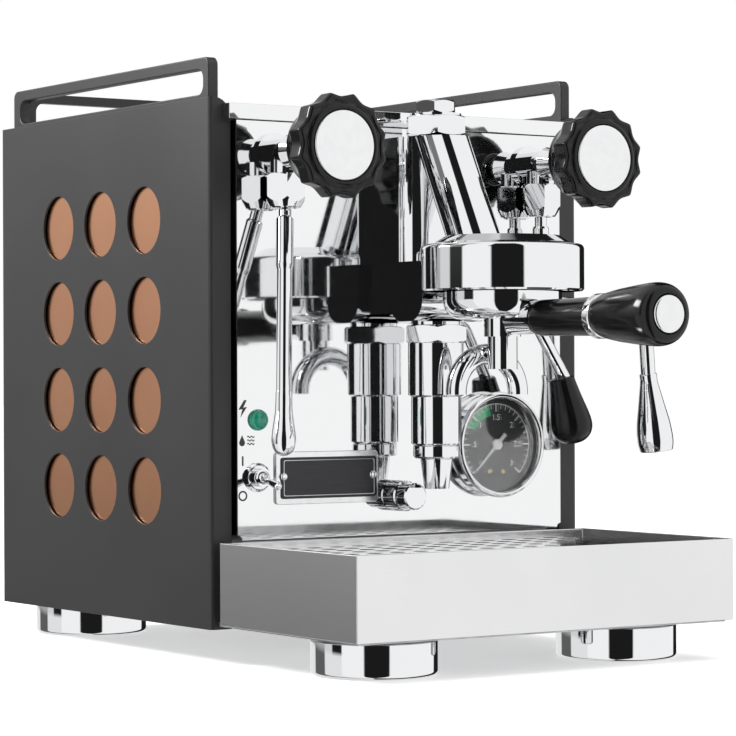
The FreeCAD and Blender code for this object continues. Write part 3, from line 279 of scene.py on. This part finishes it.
def softened(points, soft, steps=5):
    """Round the corners of an open polyline."""
    pts = [Vector(p) for p in points]
    out = [pts[0]]
    for before, corner, after in zip(pts, pts[1:], pts[2:]):
        reach = min(soft, (corner - before).length * 0.48, (after - corner).length * 0.48)
        first = corner + (before - corner).normalized() * reach
        last = corner + (after - corner).normalized() * reach
        for step in range(steps + 1):
            t = step / steps
            out.append(first * (1 - t) ** 2 + corner * 2 * t * (1 - t) + last * t ** 2)
    out.append(pts[-1])
    return out


def lathe_mesh(bm, profile, centre, direction, segments=96, wave=None):
    """Revolve (radius, height) millimetres about a direction; wave(angle, radius) cuts in."""
    turn = Vector(direction).to_track_quat("Z", "Y").to_matrix()
    rings = []
    for radius, height in profile:
        if radius < 1e-6:
            rings.append([bm.verts.new(centre + turn @ Vector((0, 0, height)) * MM)])
            continue
        ring = []
        for n in range(segments):
            angle = 2 * math.pi * n / segments
            r = radius - (wave(angle, radius) if wave else 0.0)
            offset = Vector((r * math.cos(angle), r * math.sin(angle), height))
            ring.append(bm.verts.new(centre + turn @ offset * MM))
        rings.append(ring)
    for low, high in zip(rings, rings[1:]):
        for n in range(max(len(low), len(high))):
            corners = [low[n % len(low)], low[(n + 1) % len(low)],
                       high[(n + 1) % len(high)], high[n % len(high)]]
            unique = list(dict.fromkeys(corners))
            if len(unique) > 2:
                bm.faces.new(unique)


def lathe(name, profile, centre, direction, finish, body, soft=0.5, segments=96, wave=None,
          crease=32.0):
    """A turned piece whose profile has its corners rounded by up to soft millimetres."""
    bm = bmesh.new()
    lathe_mesh(bm, [tuple(p) for p in softened(profile, soft)], centre, direction, segments, wave)
    return finished(name, bm, finish, body, crease)


def bevelled_copy(name, node, body, finish, width, segments=2):
    """A copy of a CAD node with its edges softened, which stands for that node."""
    bm = bmesh.new()
    bm.from_mesh(NODES[node].data)
    bmesh.ops.remove_doubles(bm, verts=bm.verts, dist=2e-6)
    bmesh.ops.dissolve_limit(bm, angle_limit=math.radians(0.6), verts=bm.verts, edges=bm.edges)
    obj = finished(name, bm, finish, body, 30.0)
    bevel = obj.modifiers.new("soft_edges", "BEVEL")
    bevel.width = width * MM
    bevel.segments = segments
    bevel.limit_method = "ANGLE"
    bevel.angle_limit = math.radians(40)
    bevel.use_clamp_overlap = True
    bevel.harden_normals = True
    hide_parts(node)


def slab(bm, outline, normal_low, normal_high, place):
    """Prism over a flat outline; place(u, v, w) gives the point."""
    low = [bm.verts.new(place(u, v, normal_low)) for u, v in outline]
    high = [bm.verts.new(place(u, v, normal_high)) for u, v in outline]
    bm.faces.new(low)
    bm.faces.new(high[::-1])
    for n in range(len(outline)):
        m = (n + 1) % len(outline)
        bm.faces.new([low[n], low[m], high[m], high[n]])


def facing(x, z, y=PANEL_FACE):
    """Points on a plane parallel to the front: u to the right, v up, w out of the front."""
    return lambda u, v, w: at(x + u, y - w, z + v)


def round_rect(half_u, half_v, radius, steps=6):
    """Outline of a rectangle with rounded corners, anticlockwise."""
    points = []
    for su, sv, start in ((1, 1, 0), (-1, 1, 90), (-1, -1, 180), (1, -1, 270)):
        for step in range(steps + 1):
            angle = math.radians(start + 90 * step / steps)
            points.append((su * (half_u - radius) + radius * math.cos(angle),
                           sv * (half_v - radius) + radius * math.sin(angle)))
    return points


# ---- knobs and grips -------------------------------------------------------

VALVE_X, VALVE_Z = 95.2, 303.0
BACK_OF_KNOB = -38.0
KNOB_LENGTH = 43
SCALLOPS = 12
SCALLOP_DEPTH = 2.6
SCALLOPS_START, SCALLOPS_FULL = 24.0, 29.0    # radii between which the scallops deepen


def knob_wave(angle, radius):
    """Hollow scallops with narrow crests, deepest at the rim."""
    share = (radius - SCALLOPS_START) / (SCALLOPS_FULL - SCALLOPS_START)
    depth = SCALLOP_DEPTH * max(0.0, min(1.0, share))
    return depth * abs(math.cos(SCALLOPS / 2 * angle)) ** 1.2


def knobs():
    """Scalloped wheels on plain silver discs, each disc in one piece with its spindle."""
    wheel = [(3.05, 0), (9.6, 0), (10.4, 1), (10.5, 13.4), (14, 14.6), (20.0, 15.2), (23.2, 17.4),
             (24, 22), (30.9, 31.6), (31.0, 41.8), (29.8, 43.4), (27.6, 43.7), (25.3, 42.7), (23.4, 43.9),
             (21.9, 44.4), (20.9, 44.1), (20.6, KNOB_LENGTH), (3.05, KNOB_LENGTH)]
    stem = [(0, -67), (3.0, -67), (3.0, 0), (20.3, 0), (20.3, 1.1), (19.9, 1.6), (0, 1.9)]
    for side, use in ((-1, "steam"), (1, "water")):
        centre = at(side * VALVE_X, BACK_OF_KNOB, VALVE_Z)
        body = f"{use}_knob"
        piece = lathe(f"{use}_knob_wheel", wheel, centre, FORWARD, "black_grip", body,
                      soft=1.2, segments=360, wave=knob_wave, crease=50)
        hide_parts(f"{use}_knob")
        face = at(side * VALVE_X, BACK_OF_KNOB - KNOB_LENGTH, VALVE_Z)
        spindle = lathe(f"{use}_knob_disc", stem, face, FORWARD, "silver_disc", body,
                        soft=0.3, segments=128)
        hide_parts(f"{use}_spindle")


def handle():
    """The portafilter's two grips, the ring between them and the end cap."""
    base = at(0, -141.6, 203.3)
    bore = 4.1
    ring_start, ring_end, cap_seat = 53.4, 59.9, 112.4
    front = [(bore, 0), (8.6, 0), (9.9, 0.8), (10.5, 3), (10.6, 24), (11.0, 52.8), (10.6, ring_start),
             (bore, ring_start)]
    rear = [(bore, ring_end), (11.9, ring_end), (12.2, 60.6), (13, 64), (14.8, 75), (16.4, 90),
            (17.4, 101), (17.6, 107), (16.9, 111.4), (15.2, 114), (13, 115), (11.2, 115.1),
            (11.0, cap_seat), (bore, cap_seat)]
    ring = [(bore, ring_start), (12.0, ring_start), (12.7, 54.2), (12.7, 59.1), (12.0, ring_end),
            (bore, ring_end)]
    cap = [(0, cap_seat), (10.6, cap_seat), (10.6, 115.2), (9.8, 116.1), (6, 116.8), (0, 116.9)]
    for name, profile, finish, slot, soft, node in (
            ("handle_front_grip", front, "black_grip", "black_grip", 3, "handle_grips"),
            ("handle_rear_grip", rear, "black_grip", "black_grip", 3, "handle_grips"),
            ("handle_ring", ring, "chrome", "chrome", 0.7, "handle_trims"),
            ("handle_end_cap", cap, "silver_disc", "chrome", 0.8, "handle_trims")):
        piece = lathe(name, profile, base, FORWARD, finish, "portafilter", soft=soft)
        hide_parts(node)


def lever_grip():
    """Drop-shaped grip on the brew lever's rod."""
    lean = Vector((9.8, -2.2, -42))
    shape = [(0, 0.2), (7.0, 0), (7.8, 0.9), (8.6, 6), (10.0, 14), (11.8, 22), (12.9, 29),
             (12.7, 33.5), (10.9, 37.5), (8.2, 40), (5, 41.6), (0, 42)]
    grip = lathe("lever_grip_moulding", shape, at(89.9, -44.9, 168.8), lean, "black_grip",
                 "brew_lever", soft=2.5)
    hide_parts("lever_grip")


def wand_ends():
    """Drop-shaped steam tip and flared water nozzle, turned smooth."""
    tube_length = 122.2
    top = at(-VALVE_X, -17.5, 277.5)
    way = at(-121, -56, 128) - top
    drop = [(4.7, 0.2), (4.95, 0), (5.0, 8), (5.4, 14), (6.3, 20), (7.1, 26), (7.2, 29), (6.6, 33),
            (5, 36), (2.6, 37.6), (0, 38)]
    start = top + way.normalized() * tube_length * MM
    tip = lathe("steam_tip_turned", drop, start, way, "chrome", "steam_wand", soft=3)
    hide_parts("steam_tip")
    flare = [(4.9, -2.8), (5.3, -3), (5.6, -2.2), (5.4, 1.6), (8.4, 17), (10.6, 28), (11.4, 36),
             (11.5, 41), (10.5, 46.2), (9.0, 46.2), (8.4, 28), (3, 12), (0, 12)]
    start = at(151.6, -54.8, 168)
    way = at(157.4, -55.4, 122) - start
    nozzle = lathe("water_nozzle_turned", flare, start, way, "chrome", "water_wand", soft=2)
    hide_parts("water_nozzle")


def soft_edges():
    """Sheet and bar pieces with their edges broken."""
    for side in ("left", "right"):
        bevelled_copy(f"rail_{side}_soft", f"cup_rail_{side}", "casing", "graphite_paint", 0.8, 3)
        bevelled_copy(f"panel_{side}_soft", f"side_panel_{side}", "casing", "graphite_paint", 0.3)
    bevelled_copy("drip_tray_soft", "drip_tray", "drip_tray", "satin_steel", 0.5, 3)
    bevelled_copy("cup_tray_soft", "cup_tray", "cup_tray", "mirror_steel", 0.3)


# ---- feet ------------------------------------------------------------------

FOOT_X = (-88.2, 88.2)
FOOT_Y = (-99.9, 238.5)


def feet():
    """Polished cups with a rubber pad under each."""
    recess = 2.4
    shell = [(0, 22.4), (34, 22.4), (34, 20.2), (36.4, 20.2), (36.4, 2.0), (34.9, 0.6), (30.4, 0.6),
             (30.4, recess), (0, recess)]
    pad = [(0, recess), (28.4, recess), (28.4, 0.0), (27.6, 0.0), (0, 0.0)]
    for n, (x, y) in enumerate((x, y) for x in FOOT_X for y in FOOT_Y):
        centre = at(x, y, 0)
        cup = lathe(f"foot_shell_{n}", shell, centre, UP, "chrome", "casing",
                    soft=0.8, segments=128)
        sole = lathe(f"foot_pad_{n}", pad, centre, UP, "rubber", "casing", soft=0.4)
        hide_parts("feet")
        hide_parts("feet")


# ---- front -----------------------------------------------------------------

GAUGE_X, GAUGE_Z = 66.0, 127.0
DIAL_FACE = -8.8                 # the dial's face, counted as PANEL_FACE is
SCALE_END = 135                  # the scale runs from minus this to plus this, from the top
SCALE_RADIUS = 25.2
TICKS = 30
NUMBERS = ("0", ".5", "1", "1.5", "2", "2.5", "3")
NUMBER_RADIUS = 16.9
MARK_HEIGHT = 0.08               # how far print stands out


def ring_path(inner, outer, start, end, steps):
    """Outline of a flat curved band; angles clockwise from the top, in degrees."""
    angles = [math.radians(90 - (start + (end - start) * n / steps)) for n in range(steps + 1)]
    path = [(outer * math.cos(a), outer * math.sin(a)) for a in angles]
    return path + [(inner * math.cos(a), inner * math.sin(a)) for a in reversed(angles)]


def dial_number(n, place):
    """One raised plain number, turned from a text curve into a mesh."""
    turned = math.radians(90 - (-SCALE_END + 2 * SCALE_END / (len(NUMBERS) - 1) * n))
    text = bpy.data.curves.new(f"dial_number_{n}", "FONT")
    text.body = NUMBERS[n]
    text.size = 0.0052
    text.align_x = "CENTER"
    text.align_y = "CENTER"
    text.extrude = 0.00006
    holder = bpy.data.objects.new(f"dial_number_curve_{n}", text)
    bpy.context.scene.collection.objects.link(holder)
    bpy.context.view_layer.update()
    solid = holder.evaluated_get(bpy.context.evaluated_depsgraph_get())
    bm = bmesh.new()
    bm.from_mesh(bpy.data.meshes.new_from_object(solid))
    bpy.data.objects.remove(holder)
    spot = place(NUMBER_RADIUS * math.cos(turned), NUMBER_RADIUS * math.sin(turned), 0.06)
    bm.transform(Matrix.Translation(spot) @ Matrix.Rotation(math.radians(90), 4, "X"))
    finished(f"dial_number_{n}", bm, "needle_white", "casing")


def gauge_face():
    """Dial print, two small screws and the chromed case with its bezel."""
    place = facing(GAUGE_X, GAUGE_Z, DIAL_FACE)
    ticks = bmesh.new()
    for n in range(TICKS + 1):
        angle = -SCALE_END + 2 * SCALE_END / TICKS * n
        inner, half_width = (20.6, 0.42) if n % 5 == 0 else (22.4, 0.2)
        half = math.degrees(half_width / 24)
        slab(ticks, ring_path(inner, SCALE_RADIUS, angle - half, angle + half, 1), 0.0, 0.12, place)
    slab(ticks, ring_path(SCALE_RADIUS, 25.7, -SCALE_END, SCALE_END, 64), 0.0, 0.12, place)
    finished("dial_ticks", ticks, "needle_white", "casing")
    band = bmesh.new()
    slab(band, ring_path(18.6, SCALE_RADIUS, -62, -12, 24), 0.0, MARK_HEIGHT, place)
    finished("dial_green_band", band, "green_print", "casing")
    head = [(0, 0), (1.5, 0), (1.5, 0.25), (1.1, 0.45), (0.6, 0.3), (0, 0.3)]
    for n, across in enumerate((-5.2, 5.2)):
        lathe(f"dial_screw_{n}", head, at(GAUGE_X + across, DIAL_FACE, GAUGE_Z - 16.8), FORWARD,
              "brass_fitting", "casing", soft=0.1, segments=32)
    for n in range(len(NUMBERS)):
        dial_number(n, place)
    bezel = [(28.9, 4.0), (28.9, 10.2), (29.8, 12.0), (31.2, 12.4), (32.8, 11.4), (33.2, 10.0),
             (32.6, 8.4), (31.7, 7.6), (31.6, 1.2), (31.0, 0.2), (27.0, 0.2), (27.0, -20), (0, -20),
             (0, 4.0), (28.9, 4.0)]
    case = lathe("gauge_bezel", bezel, at(GAUGE_X, PANEL_FACE, GAUGE_Z), FORWARD, "chrome",
                 "casing", soft=0.8, segments=160)
    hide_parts("gauge_case")


def print_mark(name, outline, place):
    """One dark sign printed on the front panel."""
    bm = bmesh.new()
    slab(bm, outline, 0.0, MARK_HEIGHT, place)
    finished(name, bm, "ink", "casing")


def front_marks():
    """Plain printed signs by the lamp and the switch."""
    bolt = [(0.8, 5.2), (-3.2, -0.6), (-0.4, -0.2), (-1.8, -5.2), (2.8, 1.2), (0.2, 0.7), (2.6, 5.2)]
    print_mark("mark_bolt", bolt, facing(-116.7, 151))
    angles = [math.radians(150 + 240 * n / 14) for n in range(15)]
    drop = [(2.0 * math.cos(a), 2.0 * math.sin(a) - 1.2) for a in angles] + [(0, 3.4)]
    print_mark("mark_drop", drop, facing(-117.4, 132))
    crest = [(0.45 * n, 0.42 * math.sin(n * 1.2) + 0.38) for n in range(12)]
    wave = crest + [(u, v - 0.76) for u, v in reversed(crest)]
    for level in range(3):
        print_mark(f"mark_wave_{level}", wave, facing(-113.8, 130.1 + 2.1 * level))
    print_mark("mark_on", round_rect(0.55, 2.9, 0.2, 2), facing(-117, 120))
    print_mark("mark_off", ring_path(2.1, 3.1, 0, 359.9, 40), facing(-117, 99.3))


PLATE_X, PLATE_Z = -58.1, 109.2
FIELD_X = -57.1                  # the dark field sits 1 mm off the frame's middle


def plate_layer(name, outline, low, high, x, finish, bevel_width):
    """One flat layer of the plate with broken edges."""
    bm = bmesh.new()
    slab(bm, outline, low, high, facing(x, PLATE_Z))
    layer = finished(name, bm, finish, "casing")
    bevel = layer.modifiers.new("soft_edges", "BEVEL")
    bevel.width, bevel.segments = bevel_width * MM, 3
    return layer


def name_plate():
    """Blank plate: frame, dark field, a thin border line and two screws."""
    border = plate_layer("plate_frame", round_rect(36.7, 15.8, 2.4), 0.0, 1.6, PLATE_X, "silver_disc",
                         0.35)
    plate = plate_layer("plate_field", round_rect(34.3, 12.4, 1.6), 1.6, 2.4, FIELD_X, "plate_dark",
                        0.25)
    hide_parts("name_plate")
    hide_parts("name_plate")
    line = bmesh.new()
    outline = round_rect(32.6, 10.8, 1.2)
    inner = round_rect(32.2, 10.4, 1.0)
    for n in range(len(outline)):
        m = (n + 1) % len(outline)
        slab(line, [outline[n], outline[m], inner[m], inner[n]], 2.3, 2.44, facing(FIELD_X, PLATE_Z))
    finished("plate_line", line, "needle_white", "casing")
    head = [(0, 0), (2.4, 0), (2.4, 0.4), (1.7, 1.1), (0, 1.4)]
    for n, x in enumerate((-89.6, -25.6)):
        screw = lathe(f"plate_screw_{n}", head, at(x, -6.4, 110.2), FORWARD, "chrome",
                      "casing", soft=0.3, segments=48)
        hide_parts("name_plate")


def pilot_lamp():
    """Domed lens with its stem through the panel."""
    lens = [(0, -12), (5.4, -12), (5.4, 0), (6.4, 0), (6.4, 1.0), (5.7, 3.0), (3.6, 4.9), (0, 5.6)]
    dome = lathe("lamp_lens", lens, at(-106.4, PANEL_FACE, 144.3), FORWARD, "lamp_green",
                 "casing", soft=1.2)
    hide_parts("pilot_lamp")


# ---- camera, lights and floor ----------------------------------------------

CAMERA_PLACE = (-0.9956, -1.5170, 0.1704)
YAW, PITCH, ROLL = -0.5908, -0.0027, -0.0037
LENS = 139.24


def camera():
    """Camera at the fitted place and angles, in metres and radians."""
    forward = Vector((-math.sin(YAW) * math.cos(PITCH), math.cos(YAW) * math.cos(PITCH),
                      -math.sin(PITCH)))
    right = Vector((math.cos(YAW), math.sin(YAW), 0))
    up = right.cross(forward)
    right_rolled = right * math.cos(ROLL) + up * math.sin(ROLL)
    up_rolled = up * math.cos(ROLL) - right * math.sin(ROLL)
    data = bpy.data.cameras.new("camera")
    data.sensor_width = 36.0
    data.lens = LENS
    data.clip_start, data.clip_end = 0.05, 60.0
    eye = bpy.data.objects.new("camera", data)
    basis = Matrix((right_rolled, up_rolled, -forward)).transposed()
    eye.matrix_world = Matrix.Translation(CAMERA_PLACE) @ basis.to_4x4()
    bpy.context.scene.collection.objects.link(eye)
    bpy.context.scene.camera = eye


def softbox(name, place, aim, size, power, mirrored=False):
    """Rectangular light aimed at a point; polished metal shows it only if mirrored."""
    data = bpy.data.lights.new(name, "AREA")
    data.shape = "RECTANGLE"
    data.size, data.size_y = size
    data.energy = power
    lamp = bpy.data.objects.new(name, data)
    turn = (Vector(place) - Vector(aim)).to_track_quat("Z", "Y")
    lamp.matrix_world = Matrix.Translation(place) @ turn.to_matrix().to_4x4()
    lamp.visible_camera = False
    lamp.visible_glossy = mirrored
    bpy.context.scene.collection.objects.link(lamp)


def studio_world():
    """White room with dark flags as upright strips round the machine, which polished metal mirrors."""
    world = bpy.data.worlds.new("studio")
    world.use_nodes = True
    bpy.context.scene.world = world
    tree = world.node_tree
    tree.nodes.clear()
    new = tree.nodes.new
    link = tree.links.new
    way = new("ShaderNodeSeparateXYZ")
    link(new("ShaderNodeTexCoord").outputs["Generated"], way.inputs[0])
    turn = new("ShaderNodeMath")
    turn.operation = "ARCTAN2"
    link(way.outputs["Y"], turn.inputs[0])
    link(way.outputs["X"], turn.inputs[1])
    part = new("ShaderNodeMapRange")
    part.inputs["From Min"].default_value, part.inputs["From Max"].default_value = -math.pi, math.pi
    link(turn.outputs[0], part.inputs["Value"])

    def strips(bands):
        """Grey level round the room: each band runs on from the last one to its own end angle."""
        stops = []
        start = -180
        for n, (end, level) in enumerate(bands):
            stops += [(start + (1.0 if n else 0.0), level), (end - 1.0, level)]
            start = end
        node = new("ShaderNodeValToRGB")
        while len(node.color_ramp.elements) < len(stops):
            node.color_ramp.elements.new(0.5)
        for element, (degrees, level) in zip(node.color_ramp.elements, stops):
            element.position = (degrees + 180) / 360
            element.color = (level, level, level, 1.0)
        link(part.outputs["Result"], node.inputs["Fac"])
        return node.outputs["Color"]

    def blend(low, high, start, end):
        """From one sky colour to another between two heights of the view direction."""
        rise = new("ShaderNodeMapRange")
        rise.inputs["From Min"].default_value, rise.inputs["From Max"].default_value = start, end
        link(way.outputs["Z"], rise.inputs["Value"])
        node = new("ShaderNodeMix")
        node.data_type = "RGBA"
        link(rise.outputs["Result"], node.inputs["Factor"])
        link(low, node.inputs["A"])
        link(high, node.inputs["B"])
        return node.outputs["Result"]

    dark = 0.012
    start = [(-142, 1.0), (-96, dark), (13, 1.0), (56, dark)]
    end = [(180, 1.0)]
    below = strips(start + [(104, 0.85), (136, 0.12), (176, 0.85)] + end)
    level = strips(start + [(84, 0.6), (104, 0.05), (136, 0.40), (155, 0.7), (176, dark)] + end)
    upper = strips(start + [(84, 0.6), (155, 0.95), (176, 0.2)] + end)
    top = strips(end)
    lower_half = blend(below, level, -0.064, -0.040)
    sky = blend(blend(lower_half, upper, 0.02, 0.20), top, 0.88, 0.95)
    room = new("ShaderNodeBackground")
    link(sky, room.inputs["Color"])
    room.inputs["Strength"].default_value = 1.03
    plain = new("ShaderNodeBackground")
    plain.inputs["Color"].default_value = (1, 1, 1, 1)
    mix = new("ShaderNodeMixShader")
    link(new("ShaderNodeLightPath").outputs["Is Camera Ray"], mix.inputs[0])
    link(room.outputs[0], mix.inputs[1])
    link(plain.outputs[0], mix.inputs[2])
    out = new("ShaderNodeOutputWorld")
    link(mix.outputs[0], out.inputs["Surface"])


def floor():
    """Pale paper under the machine, which polished metal doesn't show."""
    bm = bmesh.new()
    bmesh.ops.create_grid(bm, x_segments=8, y_segments=8, size=14.0)
    mesh = bpy.data.meshes.new("studio_floor")
    bm.to_mesh(mesh)
    bm.free()
    paper = Finish("pale_paper", (0.93, 0.93, 0.93), 0.0)
    fibre = paper.noise(40, detail=3.0)
    paper.tint(fibre, (0.925, 0.925, 0.925)).roughness(fibre, 0.55, 0.62)
    paper.set("Emission Color", (1.0, 1.0, 1.0, 1.0))
    paper.set("Emission Strength", 0.45)
    mesh.materials.append(paper.material)
    obj = bpy.data.objects.new("studio_floor", mesh)
    bpy.context.scene.collection.objects.link(obj)
    obj.visible_glossy = False


def studio():
    """World, floor and three soft lights."""
    bpy.context.scene.view_settings.view_transform = "Standard"
    studio_world()
    floor()
    softbox("top_light", (0.2, -0.3, 2.4), (0, 0, 0.2), (2.6, 2.2), 22)
    softbox("key_light", (1.9, -1.6, 1.5), (0, 0, 0.2), (1.2, 1.8), 6)
    softbox("side_light", (-0.80, 0.50, 0.80), (-0.137, 0.06, 0.38), (0.45, 0.35), 12, mirrored=True)


dress_cad_nodes()
knobs()
handle()
lever_grip()
wand_ends()
soft_edges()
feet()
gauge_face()
front_marks()
name_plate()
pilot_lamp()
camera()
studio()
